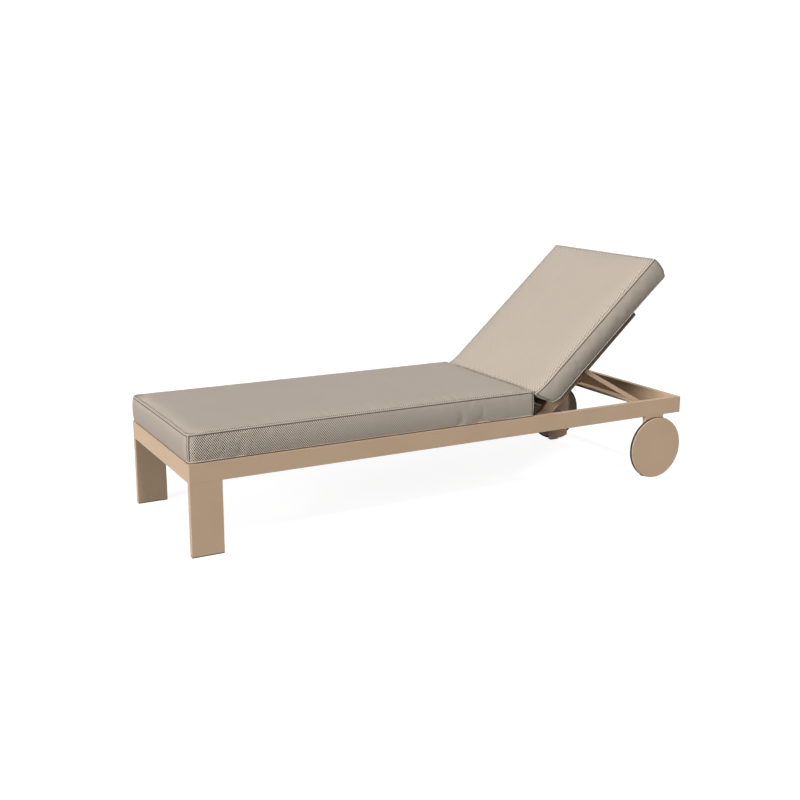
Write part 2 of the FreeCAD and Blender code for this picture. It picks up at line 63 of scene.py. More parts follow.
# Camera: it stands near the foot end on the left, a little above the mattress, and looks down
# along the lounger. The places come from a fit of the frame's corners in the photograph.
camera_place = Vector((-2.006857, -3.473868, 1.296405))
camera_yaw = 0.504908
camera_pitch = 0.235050
camera_roll = 0.005532
camera_lens = 49.666
camera_sensor = 36.0
ahead = Vector((math.sin(camera_yaw) * math.cos(camera_pitch),
                math.cos(camera_yaw) * math.cos(camera_pitch), -math.sin(camera_pitch)))
level_right = Vector((math.cos(camera_yaw), -math.sin(camera_yaw), 0))
level_up = level_right.cross(ahead)
right = level_right * math.cos(camera_roll) + level_up * math.sin(camera_roll)
up = level_up * math.cos(camera_roll) - level_right * math.sin(camera_roll)
camera_data = bpy.data.cameras.new("camera")
camera_data.lens = camera_lens
camera_data.sensor_width = camera_sensor
camera = bpy.data.objects.new("camera", camera_data)
camera.matrix_world = Matrix.Translation(camera_place) @ Matrix((right, up, -ahead)).transposed().to_4x4()
scene = bpy.context.scene
scene.collection.objects.link(camera)
scene.camera = camera
scene.view_settings.view_transform = "Standard"


# Light: one broad lamp low at the foot end, one half as strong high over the near side, and a dim sky,
# a little brighter above. The sky shows as plain white to the camera and in reflections.
sky_low = 0.09
sky_rise = 0.18
sky_white = 1.04
lamps = {
    "foot_lamp": (Vector((-0.87, -0.30, 0.25)), 3.30, math.radians(24)),
    "side_lamp": (Vector((0.0, -0.53, 0.848)), 1.65, math.radians(14)),
}
for name, (source, strength, spread) in lamps.items():
    lamp_data = bpy.data.lights.new(name, "SUN")
    lamp_data.energy = strength
    lamp_data.angle = spread
    lamp = bpy.data.objects.new(name, lamp_data)
    lamp.rotation_mode = "QUATERNION"
    lamp.rotation_quaternion = source.to_track_quat("Z", "Y")
    scene.collection.objects.link(lamp)


class Wire:
    """A shader socket. Sums, differences and products of it add Math nodes to its tree."""

    def __init__(self, wiring, socket):
        self.wiring = wiring
        self.socket = socket

    def maths(self, operation, first, second=0.0):
        return self.wiring.add("ShaderNodeMath", {"operation": operation}, {0: first, 1: second})

    def __add__(self, other):
        return self.maths("ADD", self, other)

    def __radd__(self, other):
        return self.maths("ADD", other, self)

    def __sub__(self, other):
        return self.maths("SUBTRACT", self, other)

    def __rsub__(self, other):
        return self.maths("SUBTRACT", other, self)

    def __mul__(self, other):
        return self.maths("MULTIPLY", self, other)

    def __rmul__(self, other):
        return self.maths("MULTIPLY", other, self)

    def __pow__(self, other):
        return self.maths("POWER", self, other)

    def sine(self):
        return self.maths("SINE", self)

    def size(self):
        return self.maths("ABSOLUTE", self)

    def held(self, low, high):
        """The value stretched so that low gives 0 and high gives 1, smooth at both ends."""
        stretched = {"Value": self, "From Min": low, "From Max": high}
        return self.wiring.add("ShaderNodeMapRange", {"interpolation_type": "SMOOTHSTEP"}, stretched)


class Wiring:
    """A node tree in the making: add() sets a node up, fills its sockets and gives one output."""

    def __init__(self, owner):
        owner.use_nodes = True
        self.tree = owner.node_tree
        self.tree.nodes.clear()

    def add(self, kind, settings=None, values=None, out=0):
        made = self.tree.nodes.new(kind)
        for key, value in (settings or {}).items():
            setattr(made, key, value)
        for key, value in (values or {}).items():
            if isinstance(value, Wire):
                self.tree.links.new(value.socket, made.inputs[key])
            else:
                made.inputs[key].default_value = value
        return Wire(self, made.outputs[out]) if made.outputs else None

    def mix(self, share, first, second):
        return self.add("ShaderNodeMix", {"data_type": "RGBA"}, {0: share, 6: first, 7: second}, 2)

    def noise(self, place, scale, detail=2.0):
        return self.add("ShaderNodeTexNoise", {}, {"Vector": place, "Scale": scale, "Detail": detail})

    def shown_plainly(self):
        """1 for what the camera, reflections and see-through surfaces look at, else 0."""
        kinds = ("Is Camera Ray", "Is Glossy Ray", "Is Transmission Ray")
        rays = [self.add("ShaderNodeLightPath", out=kind) for kind in kinds]
        return rays[0].maths("MAXIMUM", rays[0], rays[1].maths("MAXIMUM", rays[1], rays[2]))


world = bpy.data.worlds.new("sky")
scene.world = world
sky = Wiring(world)
plain = sky.shown_plainly()
sky_aim = sky.add("ShaderNodeTexCoord", out="Generated")
sky_height = sky.add("ShaderNodeSeparateXYZ", {}, {"Vector": sky_aim}, "Z")
sky_dim = sky_low + sky_height.maths("MAXIMUM", sky_height, 0.0) * sky_rise
sky_level = sky_dim + plain * (sky_white - sky_dim)
sky_light = sky.add("ShaderNodeBackground", {}, {"Color": (1, 1, 1, 1), "Strength": sky_level})
sky.add("ShaderNodeOutputWorld", {}, {"Surface": sky_light})


# Floor: a wide pale sheet under the glides and the wheels. It runs out to white for the camera,
# keeps the lounger's soft shadow and throws hardly any light back up.
floor_reach = 40.0
floor_drop = 0.0004
floor_colour = (0.27, 0.27, 0.27, 1)
floor_bounce = (0.03, 0.03, 0.03, 1)
floor_lift = 0.90
floor_mesh = bpy.data.meshes.new("floor")
floor_corners = [(-floor_reach, -floor_reach, -floor_drop), (floor_reach, -floor_reach, -floor_drop),
                 (floor_reach, floor_reach, -floor_drop), (-floor_reach, floor_reach, -floor_drop)]
floor_mesh.from_pydata(floor_corners, [], [(0, 1, 2, 3)])
floor = bpy.data.objects.new("floor", floor_mesh)
scene.collection.objects.link(floor)
floor_finish = bpy.data.materials.new("pale_floor")
pale = Wiring(floor_finish)
floor_matt = pale.add("ShaderNodeBsdfDiffuse", {}, {"Color": floor_colour})
floor_glow = pale.add("ShaderNodeEmission", {}, {"Strength": floor_lift})
floor_seen = pale.add("ShaderNodeAddShader", {}, {0: floor_matt, 1: floor_glow})
floor_dim = pale.add("ShaderNodeBsdfDiffuse", {}, {"Color": floor_bounce})
floor_whole = pale.add("ShaderNodeMixShader", {}, {0: pale.shown_plainly(), 1: floor_dim, 2: floor_seen})
pale.add("ShaderNodeOutputMaterial", {}, {"Surface": floor_whole})
floor_mesh.materials.append(floor_finish)


# Coated frame: rails, legs, deck slats, ledges, back tubes, the prop and the wheels' cores and covers.
# They are extruded and welded aluminium under a matt sand powder coat, baked on, with fine orange peel.
coat_colour = (0.582, 0.420, 0.289, 1)
coat_shade = (0.520, 0.371, 0.251, 1)
coat_roughness = 0.52
coat_edge = 0.0014
peel_scale = 950.0
peel_depth = 0.00005
cloud_scale = 5.0
cloud_share = 0.45
speck_scale = 260.0
speck_share = 0.25
speck_rough = 0.10
coat_specular = 0.22


def coat_finish(name, colour, shade):
    material = bpy.data.materials.new(name)
    coat = Wiring(material)
    place = coat.add("ShaderNodeTexCoord", out="Object")
    cloud = coat.noise(place, cloud_scale, 4.0).held(0.35, 0.7)
    speck = coat.noise(place, speck_scale).held(0.3, 0.75)
    tone = coat.mix(cloud * cloud_share + speck * speck_share, colour, shade)
    rough = coat_roughness + speck * speck_rough
    edge = coat.add("ShaderNodeBevel", {"samples": 4}, {"Radius": coat_edge})
    peel = coat.noise(place, peel_scale)
    bump = coat.add("ShaderNodeBump", {}, {"Strength": 0.35, "Distance": peel_depth, "Height": peel,
                                           "Normal": edge})
    gloss = {"Base Color": tone, "Roughness": rough, "Normal": bump, "Specular IOR Level": coat_specular}
    body = coat.add("ShaderNodeBsdfPrincipled", {}, gloss)
    coat.add("ShaderNodeOutputMaterial", {}, {"Surface": body})
    return material


def dress(material, *nodes):
    """Puts a finish on CAD nodes, which keep their shape and place."""
    for node in nodes:
        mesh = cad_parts[node].data
        mesh.materials.clear()
        mesh.materials.append(material)


powder_coat = coat_finish("powder_coat", coat_colour, coat_shade)
dress(powder_coat, "side_rail_left", "side_rail_right", "foot_rail", "head_rail",
      "front_leg_left", "front_leg_right", "rear_leg_left", "rear_leg_right",
      "slat_ledge_left", "slat_ledge_right", "seat_slats", "back_slats",
      "back_bar_left", "back_bar_right", "prop_arm_left", "prop_arm_right", "prop_rod", "prop_bolts",
      "wheel_cover_left", "wheel_cover_right", "wheel_core_left", "wheel_core_right")


# Bare metal: corner keys pushed into the mitres, hinge bosses, and all bolts, screws, nuts and
# washers. They are mill aluminium and brushed stainless steel with fine turning marks. Their colours
# are set well below bare metal's as painted shade, for parts that sit in shade under the frame.
steel_colour = (0.33, 0.325, 0.32, 1)
steel_shade = (0.26, 0.256, 0.252, 1)
aluminium_colour = (0.19, 0.19, 0.193, 1)
aluminium_shade = (0.15, 0.15, 0.153, 1)
dark_steel_colour_for_shade = (0.10, 0.097, 0.093, 1)
dark_steel_tone_for_shade = (0.07, 0.068, 0.065, 1)
brush_scale = 1400.0
brush_stretch = (0.06, 1.0, 1.0)
brush_depth = 0.00004
brush_rough = 0.12
metal_edge = 0.0004


def metal_finish(name, colour, shade, roughness):
    material = bpy.data.materials.new(name)
    metal = Wiring(material)
    place = metal.add("ShaderNodeTexCoord", out="Object")
    drawn = metal.add("ShaderNodeMapping", {}, {"Vector": place, "Scale": brush_stretch})
    brush = metal.noise(drawn, brush_scale)
    edge = metal.add("ShaderNodeBevel", {"samples": 4}, {"Radius": metal_edge})
    bump = metal.add("ShaderNodeBump", {}, {"Strength": 0.25, "Distance": brush_depth, "Height": brush,
                                            "Normal": edge})
    look = {"Base Color": metal.mix(brush, colour, shade), "Metallic": 1.0,
            "Roughness": roughness + brush * brush_rough, "Normal": bump}
    body = metal.add("ShaderNodeBsdfPrincipled", {}, look)
    metal.add("ShaderNodeOutputMaterial", {}, {"Surface": body})
    return material


stainless = metal_finish("stainless_steel", steel_colour, steel_shade, 0.30)
mill_aluminium = metal_finish("mill_aluminium", aluminium_colour, aluminium_shade, 0.55)
dress(mill_aluminium, "corner_keys", "hinge_boss_left", "hinge_boss_right")
dress(stainless, "axle_sleeves", "wheel_spacers", "slat_screws", "ledge_screws", "rack_screws",
      "stop_screws", "prop_spacers", "prop_nuts")
# A still darker copy of the steel, as painted shade, for the nuts, washers, bolts and screws deep under
# the frame.
steel_darkened_as_shade = metal_finish("steel_darkened_as_shade", dark_steel_colour_for_shade, dark_steel_tone_for_shade, 0.55)
dress(steel_darkened_as_shade, "cover_screws_left", "cover_screws_right", "boss_screws", "hinge_caps",
      "axle_bolt_left", "axle_bolt_right", "axle_washers", "axle_nuts")


# Moulded parts: foot glides, leg plugs, tube caps, bushes, washers and notched racks are black
# glass-filled nylon, and the tyres and the blocks that the back lies on are rubber.
nylon_colour = (0.020, 0.019, 0.018, 1)
nylon_shade = (0.034, 0.032, 0.030, 1)
rubber_colour = (0.012, 0.012, 0.012, 1)
rubber_shade = (0.024, 0.023, 0.022, 1)
grain_depth = 0.00008
grain_rough = 0.15
mould_edge = 0.0006


def moulded_finish(name, colour, shade, roughness, grain_scale):
    material = bpy.data.materials.new(name)
    mould = Wiring(material)
    place = mould.add("ShaderNodeTexCoord", out="Object")
    grain = mould.noise(place, grain_scale, 3.0)
    edge = mould.add("ShaderNodeBevel", {"samples": 4}, {"Radius": mould_edge})
    bump = mould.add("ShaderNodeBump", {}, {"Strength": 0.4, "Distance": grain_depth, "Height": grain,
                                            "Normal": edge})
    look = {"Base Color": mould.mix(grain.held(0.3, 0.7), colour, shade), "Normal": bump,
            "Roughness": roughness + grain * grain_rough}
    body = mould.add("ShaderNodeBsdfPrincipled", {}, look)
    mould.add("ShaderNodeOutputMaterial", {}, {"Surface": body})
    return material


nylon = moulded_finish("moulded_nylon", nylon_colour, nylon_shade, 0.5, 700.0)
rubber = moulded_finish("black_rubber", rubber_colour, rubber_shade, 0.72, 420.0)
dress(nylon, "foot_glide_left", "foot_glide_right", "rear_leg_cap_left", "rear_leg_cap_right",
      "bar_caps", "hinge_bushes", "hinge_washers", "prop_rack_left", "prop_rack_right",
      "wheel_bush_left", "wheel_bush_right")
dress(rubber, "tyre_left", "tyre_right", "back_stop_left", "back_stop_right")


# Seat section of the mattress: a foam slab in a boxed cover of two-tone basket weave, sewn from a
# top panel, a side band and a base, and blown out by the foam between its seams.
weave_along = 0.00373
weave_across = 0.00463
weave_light = (0.800, 0.694, 0.582, 1)
weave_dark = (0.036, 0.024, 0.014, 1)
weave_worn = (0.30, 0.255, 0.214, 1)
weave_depth = 0.0005
clear_least = 0.10
clear_foot = -1.0
clear_head = 0.05
rim_clear = 0.70
rim_reach = (0.004, 0.040)
# Painted shade beside the seams: its dark colour, and how far from a seam on a band and on a panel it
# fades out.
painted_seam_shade_colour = (0.060, 0.046, 0.036, 1)
painted_shade_band_reach = (0.0036, 0.0080)
painted_shade_panel_reach = (0.0024, 0.0058)
seam_rows = (0.0, 0.004, 0.009, 0.016, 0.025)
panel_step = 0.0115
band_rows = (0.0, 0.004, 0.010)
seam_pull = 0.0018
stitch_ring = 2
stitch_sink = 0.0009
puff_pressure = 4.0
puff_frames = 20
puff_most = 0.009
band_most = puff_most / 6


def cloth_finish(name):
    """The weave, clearest on the side bands at the foot end, with painted shade: a dark line in the cloth
    beside each seam, where the seam's ditch lies in shade.

    The seam map holds a band's way to its seam in X, and in Y a panel's way to its seam, 1 on side
    bands and 2 on end bands."""
    material = bpy.data.materials.new(name)
    cloth = Wiring(material)
    run = cloth.add("ShaderNodeUVMap", {"uv_map": "cloth"})
    along = cloth.add("ShaderNodeSeparateXYZ", {}, {"Vector": run}, "X") * (math.pi / weave_along)
    across = cloth.add("ShaderNodeSeparateXYZ", {}, {"Vector": run}, "Y") * (math.pi / weave_across)
    crossing = along.sine() * across.sine()
    beside = cloth.add("ShaderNodeUVMap", {"uv_map": "seam"})
    on_band = cloth.add("ShaderNodeSeparateXYZ", {}, {"Vector": beside}, "X")
    on_panel = cloth.add("ShaderNodeSeparateXYZ", {}, {"Vector": beside}, "Y")
    place = cloth.add("ShaderNodeTexCoord", out="Object")
    lengthwise = cloth.add("ShaderNodeSeparateXYZ", {}, {"Vector": place}, "X")
    toward_head = lengthwise.held(clear_foot, clear_head)
    side_band = on_panel.held(0.5, 0.6) * (1.0 - on_panel.held(1.4, 1.6))
    panel_rim = (1.0 - on_panel.held(*rim_reach)) * rim_clear
    clear = clear_least + side_band * (1.0 - toward_head) + panel_rim
    tone = cloth.mix(0.5 + (crossing.held(-0.25, 0.25) - 0.5) * clear, weave_dark, weave_light)
    fade = cloth.noise(place, 9.0, 3.0).held(0.3, 0.75) * 0.08
    yarn = cloth.noise(place, 900.0) * 0.10
    worn = cloth.mix(fade + yarn, tone, weave_worn)
    # Painted shade: the cloth darkens within a few millimetres of each seam, where its ditch is shaded.
    seam_shadow_share = (1.0 - on_band.held(*painted_shade_band_reach)) * 0.92 + (1.0 - on_panel.held(*painted_shade_panel_reach)) * 0.75
    shaded = cloth.mix(seam_shadow_share, worn, painted_seam_shade_colour)
    relief = (crossing.size() ** 0.5) * (0.35 + clear * 0.65)
    bump = cloth.add("ShaderNodeBump", {}, {"Strength": 0.5, "Distance": weave_depth, "Height": relief})
    look = {"Base Color": shaded, "Roughness": 0.92, "Normal": bump, "Sheen Weight": 0.08,
            "Sheen Roughness": 0.6, "Specular IOR Level": 0.2}
    body = cloth.add("ShaderNodeBsdfPrincipled", {}, look)
    cloth.add("ShaderNodeOutputMaterial", {}, {"Surface": body})
    return material


woven_cloth = cloth_finish("woven_cloth")


def close_rows(length, rows, step):
    """Places from 0 to length, close together beside the seams at both ends."""
    inner = length - 2 * rows[-1]
    count = max(2, round(inner / step))
    middle = [rows[-1] + inner * k / count for k in range(1, count)]
    return list(rows) + middle + [length - row for row in reversed(rows)]


def drawn_in(first, second):
    """The share by which a square corner's point moves in to lie on a round one, from its two insets."""
    return max(first, second) / math.hypot(first, second) - 1 if first and second else 0.0


def boxed_cover(name, length, width, height, crown, bulge, side_draw, base_lift, ends,
                droop=0.0, bend=0.0, bend_reach=1.0):
    """A closed cover lying flat, its base at z 0 and its top seam at height, with its cloth run as UV.

    side_draw is how far its long sides pull in, and base_lift how high its base seam sits. For each
    end, ends has the radii of its upright corners, base edge and top edge. droop is how far the base
    hangs at the last end, and bend the angle by which the first end curls up over bend_reach. Gives
    the object, its seams as rows of vertices, the vertices that stay put when it is blown up and how
    far each vertex may move."""
    xs = close_rows(length, seam_rows, panel_step)
    ys = close_rows(width, seam_rows, panel_step)
    zs = close_rows(height, band_rows, panel_step)
    last_x, last_y, last_z = len(xs) - 1, len(ys) - 1, len(zs) - 1
    shell = bmesh.new()
    run = shell.loops.layers.uv.new("cloth")
    seam = shell.loops.layers.uv.new("seam")
    made = {}

    def corner(i, j, k):
        if (i, j, k) not in made:
            made[i, j, k] = shell.verts.new((xs[i], ys[j] - width / 2, zs[k]))
        return made[i, j, k]

    def patch(keys, lay, kind):
        face = shell.faces.new([corner(*key) for key in keys])
        face.smooth = True
        for loop, (a, b, c) in zip(face.loops, keys):
            loop[run].uv = lay(a, b, c)
            to_end = min(xs[a], length - xs[a])
            to_side = min(ys[b], width - ys[b])
            if kind == "panel":
                loop[seam].uv = (1.0, min(to_end, to_side))
            else:
                to_seam = min(max(to_end, to_side), height - zs[c], zs[c] + seam_pull)
                loop[seam].uv = (to_seam, 1.0 if kind == "side" else 2.0)

    for i in range(last_x):
        for j in range(last_y):
            ring = [(i, j), (i + 1, j), (i + 1, j + 1), (i, j + 1)]
            patch([(a, b, last_z) for a, b in ring], lambda a, b, c: (xs[a], ys[b]), "panel")
            patch([(a, b, 0) for a, b in reversed(ring)], lambda a, b, c: (xs[a], ys[b]), "panel")
        for k in range(last_z):
            ring = [(i, k), (i + 1, k), (i + 1, k + 1), (i, k + 1)]
            patch([(a, 0, c) for a, c in ring], lambda a, b, c: (xs[a], zs[c]), "side")
            patch([(a, last_y, c) for a, c in reversed(ring)], lambda a, b, c: (xs[a], zs[c]), "side")
    for j in range(last_y):
        for k in range(last_z):
            ring = [(j, k), (j, k + 1), (j + 1, k + 1), (j + 1, k)]
            patch([(0, b, c) for b, c in ring], lambda a, b, c: (ys[b], zs[c]), "end")
            patch([(last_x, b, c) for b, c in reversed(ring)], lambda a, b, c: (ys[b], zs[c]), "end")

    def around(inset):
        """The keys of the ring of panel vertices that lies so many rows inside the seam."""
        x1, y1 = last_x - inset, last_y - inset
        there = [(i, inset) for i in range(inset, x1)] + [(x1, j) for j in range(inset, y1)]
        back = [(i, y1) for i in range(x1, inset, -1)] + [(inset, j) for j in range(y1, inset, -1)]
        return there + back

    corners = [(0, 0), (last_x, 0), (last_x, last_y), (0, last_y)]
    most = {}
    for (i, j, k), vert in made.items():
        x, y, z = vert.co
        share_x = 2 * x / length - 1
        share_y = 2 * y / width
        full_x = 1 - abs(share_x) ** 3
        full_y = 1 - abs(share_y) ** 3
        way_x = math.copysign(1, share_x)
        way_y = math.copysign(1, share_y)
        rows_in = min(i, last_x - i, j, last_y - j)
        corner_radius, base_round, top_round = ends[0] if share_x < 0 else ends[1]
        swell = bulge * math.sin(math.pi * z / height)
        inset_x = max(0.0, corner_radius - min(x, length - x))
        inset_y = max(0.0, corner_radius - width / 2 + abs(y))
        turn = drawn_in(inset_x, inset_y)
        x += way_x * inset_x * turn
        y += way_y * inset_y * turn
        for radius, depth, way_z in ((base_round, z, -1), (top_round, height - z, 1)):
            inset_x = max(0.0, radius - min(x, length - x))
            inset_z = max(0.0, radius - depth)
            turn = drawn_in(inset_x, inset_z)
            x += way_x * inset_x * turn
            z += way_z * inset_z * turn
        if j in (0, last_y):
            y += way_y * swell * (0.3 + 0.7 * full_x)
        if i in (0, last_x):
            x += way_x * swell * (0.7 + 0.3 * full_y)
        y -= way_y * side_draw * full_x * abs(share_y)
        x -= way_x * side_draw * 0.3 * full_y * abs(share_x) ** 9
        if k == last_z:
            z += crown * 0.5 * full_x * full_y
            if rows_in == stitch_ring:
                z -= stitch_sink
        pull = 0.0
        if rows_in == 0 and k == 0:
            z += base_lift
        elif rows_in == 0 and k == last_z:
            pull = seam_pull
            z -= seam_pull * 0.6
        elif (i, j) in corners:
            pull = seam_pull * 0.7
        if pull:
            inward = Vector((-way_x if i in (0, last_x) else 0, -way_y if j in (0, last_y) else 0))
            x += inward.normalized().x * pull
            y += inward.normalized().y * pull
        z -= droop * max(0.0, share_x) ** 4 * (1 - z / height)
        if bend and x < bend_reach:
            angle = bend * (1 - x / bend_reach)
            sweep = bend_reach / bend
            above = z - height / 2
            x = bend_reach - sweep * math.sin(angle) - above * math.sin(angle)
            z = height / 2 + sweep * (1 - math.cos(angle)) + above * math.cos(angle)
        vert.co = (x, y, z)
        most[i, j, k] = puff_most if k == last_z and rows_in > stitch_ring else band_most

    shell.verts.index_update()
    seams = {"base": [made[i, j, 0].index for i, j in around(0)],
             "top": [made[i, j, last_z].index for i, j in around(0)],
             "stitch": [made[i, j, last_z].index for i, j in around(stitch_ring)]}
    for n, (i, j) in enumerate(corners):
        seams["corner %d" % n] = [made[i, j, k].index for k in range(last_z + 1)]
    held = [made[key].index for key in made if key[2] == 0] + seams["top"]
    limits = np.zeros(len(made))
    for key, vert in made.items():
        limits[vert.index] = most[key]
    mesh = bpy.data.meshes.new(name)
    shell.to_mesh(mesh)
    shell.free()
    mesh.materials.append(woven_cloth)
    cover = bpy.data.objects.new(name, mesh)
    scene.collection.objects.link(cover)
    return cover, seams, held, limits


def blow_up(cover, held, limits):
    """Cloth under air pressure with its seams held: the panels swell and pucker between them."""
    group = cover.vertex_groups.new(name="seams")
    group.add(held, 1.0, "REPLACE")
    cloth = cover.modifiers.new("swell", "CLOTH")
    cloth.settings.quality = 6
    cloth.settings.mass = 0.25
    cloth.settings.tension_stiffness = 12.0
    cloth.settings.compression_stiffness = 12.0
    cloth.settings.shear_stiffness = 4.0
    cloth.settings.bending_stiffness = 0.6
    cloth.settings.shrink_min = -0.012
    cloth.settings.use_pressure = True
    cloth.settings.uniform_pressure_force = puff_pressure
    cloth.settings.vertex_group_mass = "seams"
    cloth.settings.effector_weights.gravity = 0.0
    cloth.collision_settings.use_collision = False
    start = np.array([v.co for v in cover.data.vertices])
    for step in range(1, puff_frames + 1):
        scene.frame_set(step)
    swollen = cover.evaluated_get(bpy.context.evaluated_depsgraph_get())
    end = np.array([v.co for v in swollen.data.vertices])
    cover.modifiers.remove(cloth)
    scene.frame_set(1)
    move = end - start
    far = np.maximum(np.linalg.norm(move, axis=1), 1e-9)
    move *= (limits * np.tanh(far / limits) / far)[:, None]
    cover.data.vertices.foreach_set("co", (start + move).ravel())
    cover.data.update()


def smooth_once(cover):
    """One round of subdivision, made part of the mesh."""
    rounds = cover.modifiers.new("smooth", "SUBSURF")
    rounds.levels = 1
    rounds.render_levels = 1
    finished = cover.evaluated_get(bpy.context.evaluated_depsgraph_get())
    mesh = bpy.data.meshes.new_from_object(finished)
    cover.modifiers.clear()
    old = cover.data
    cover.data = mesh
    bpy.data.meshes.remove(old)
    cover.vertex_groups.clear()


def seam_paths(cover, seams):
    """The places of the seams' vertices, which keep their numbers when the mesh is smoothed."""
    return {key: [cover.data.vertices[v].co.copy() for v in row] for key, row in seams.items()}


seat_low, seat_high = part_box("seat_cushion")
seat_length = seat_high.x - seat_low.x
seat_width = 0.614
seat_band = 0.0937
seat_crown = 0.014
seat_bulge = 0.0045
seat_draw = 0.004
seat_lift = 0.0065
seat_reach = 0.004
seat_ends = ((0.028, 0.008, 0.009), (0.010, 0.006, 0.004))
seat_section, seat_seams, seat_held, seat_limits = boxed_cover(
    "seat_mattress", seat_length + seat_reach, seat_width, seat_band, seat_crown, seat_bulge, seat_draw,
    seat_lift, seat_ends)
blow_up(seat_section, seat_held, seat_limits)
seat_section.data.transform(Matrix.Translation((seat_low.x - seat_reach, 0, seat_low.z)))
smooth_once(seat_section)
seat_paths = seam_paths(seat_section, seat_seams)
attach(seat_section, "frame")
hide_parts("seat_cushion")


# Back section of the mattress: the same boxed cover, shorter and a little thinner. It lies on the
# raised back frame, and its lower end curls forward to the fold, where it is sewn to the seat.
# Laid flat, it settles a few millimetres thinner on the rails; that is not shaped here.
fold_place = Vector((0.3170151, 0, 0.3907))
back_raise = math.radians(42)
back_length = 0.697
back_width = 0.614
back_band = 0.0844
back_crown = 0.016
back_bulge = 0.0068
back_draw = 0.001
back_lift = -0.003
back_ends = ((0.010, 0.006, 0.004), (0.014, 0.018, 0.012))
back_droop = 0.004
back_bend = math.radians(23)
back_bend_reach = 0.064
back_section, back_seams, back_held, back_limits = boxed_cover(
    "back_mattress", back_length, back_width, back_band, back_crown, back_bulge, back_draw, back_lift,
    back_ends, back_droop, back_bend, back_bend_reach)
blow_up(back_section, back_held, back_limits)
raise_back = Matrix.Translation(fold_place) @ Matrix.Rotation(-back_raise, 4, "Y")
back_section.data.transform(raise_back @ Matrix.Translation((0, 0, -back_band)))
smooth_once(back_section)
back_paths = seam_paths(back_section, back_seams)


def settle(piece):
    """Gives a piece of the back section its own copy of its mesh; it does not press the piece flatter."""
    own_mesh(piece)


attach(back_section, "back_cushion")
settle(back_section)
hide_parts("back_cushion")


# Piping: a cord in a strip of the same cloth, sewn into every seam of both sections. It stands a
# little proud of the panels and runs round the top, the base and down the corners.
piping_radius = 0.0023
# The piping's colours are set lighter than the cover's weave as painted light, lifting the cord out of
# the shade along the seams.
piping_colour = (0.55, 0.48, 0.41, 1)
piping_shade = (0.41, 0.355, 0.30, 1)
rib_scale = 170.0
rib_depth = 0.0003


def piping_finish():
    material = bpy.data.materials.new("piping_cloth")
    pipe = Wiring(material)
    place = pipe.add("ShaderNodeTexCoord", out="Object")
    rib = pipe.add("ShaderNodeTexWave", {"bands_direction": "DIAGONAL"},
                   {"Vector": place, "Scale": rib_scale, "Distortion": 0.8})
    tone = pipe.mix(rib, piping_shade, piping_colour)
    bump = pipe.add("ShaderNodeBump", {}, {"Strength": 0.5, "Distance": rib_depth, "Height": rib})
    look = {"Base Color": tone, "Roughness": 0.9, "Normal": bump, "Specular IOR Level": 0.2}
    body = pipe.add("ShaderNodeBsdfPrincipled", {}, look)
    pipe.add("ShaderNodeOutputMaterial", {}, {"Surface": body})
    return material


piping_cloth = piping_finish()


class Shaping:
    """A Geometry Nodes tree in the making, with named inputs for its sizes and its finish."""

    def __init__(self, name, **inputs):
        self.tree = bpy.data.node_groups.new(name, "GeometryNodeTree")
        self.tree.interface.new_socket("Geometry", in_out="INPUT", socket_type="NodeSocketGeometry")
        self.inputs = {}
        for key, kind in inputs.items():
            self.inputs[key] = self.tree.interface.new_socket(key, in_out="INPUT", socket_type=kind)
        self.tree.interface.new_socket("Geometry", in_out="OUTPUT", socket_type="NodeSocketGeometry")
        self.given = self.tree.nodes.new("NodeGroupInput")
        self.result = self.tree.nodes.new("NodeGroupOutput")

    def add(self, kind, settings=None, values=None, out=0):
        made = self.tree.nodes.new(kind)
        for key, value in (settings or {}).items():
            setattr(made, key, value)
        for key, value in (values or {}).items():
            if isinstance(value, bpy.types.NodeSocket):
                self.tree.links.new(value, made.inputs[key])
            else:
                made.inputs[key].default_value = value
        return made.outputs[out]

    def end(self, geometry):
        whole = self.add("GeometryNodeRealizeInstances", {}, {"Geometry": geometry})
        painted = self.add("GeometryNodeSetMaterial", {}, {"Geometry": whole,
                                                           "Material": self.given.outputs["Finish"]})
        self.tree.links.new(painted, self.result.inputs[0])

    def make(self, name, paths, **values):
        """A plain mesh object from the tree, run along these paths of (points, closed)."""
        points, edges = [], []
        for path, closed in paths:
            first = len(points)
            points += [tuple(p) for p in path]
            edges += [(first + k, first + k + 1) for k in range(len(path) - 1)]
            if closed:
                edges.append((len(points) - 1, first))
        line = bpy.data.meshes.new(name)
        line.from_pydata(points, edges, [])
        made = bpy.data.objects.new(name, line)
        scene.collection.objects.link(made)
        shape = made.modifiers.new("shape", "NODES")
        shape.node_group = self.tree
        for key, value in values.items():
            shape[self.inputs[key].identifier] = value
        finished = made.evaluated_get(bpy.context.evaluated_depsgraph_get())
        mesh = bpy.data.meshes.new_from_object(finished)
        made.modifiers.clear()
        made.data = mesh
        bpy.data.meshes.remove(line)
        mesh.shade_smooth()
        return made


piping_tree = Shaping("piping", Radius="NodeSocketFloat", Finish="NodeSocketMaterial")
piping_line = piping_tree.add("GeometryNodeMeshToCurve", {}, {0: piping_tree.given.outputs["Geometry"]})
piping_round = piping_tree.add("GeometryNodeCurvePrimitiveCircle", {},
                               {"Resolution": 8, "Radius": piping_tree.given.outputs["Radius"]})
piping_tube = piping_tree.add("GeometryNodeCurveToMesh", {}, {"Curve": piping_line, "Fill Caps": True,
                                                              "Profile Curve": piping_round})
piping_tree.end(piping_tube)
for name, paths, body in (("seat_piping", seat_paths, "frame"),
                          ("back_piping", back_paths, "back_cushion")):
    runs = [(paths["base"], True), (paths["top"], True)]
    runs += [(path, False) for key, path in paths.items() if key.startswith("corner")]
    piping = piping_tree.make(name, runs, Radius=piping_radius, Finish=piping_cloth)
    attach(piping, body)
    if body == "back_cushion":
        settle(piping)


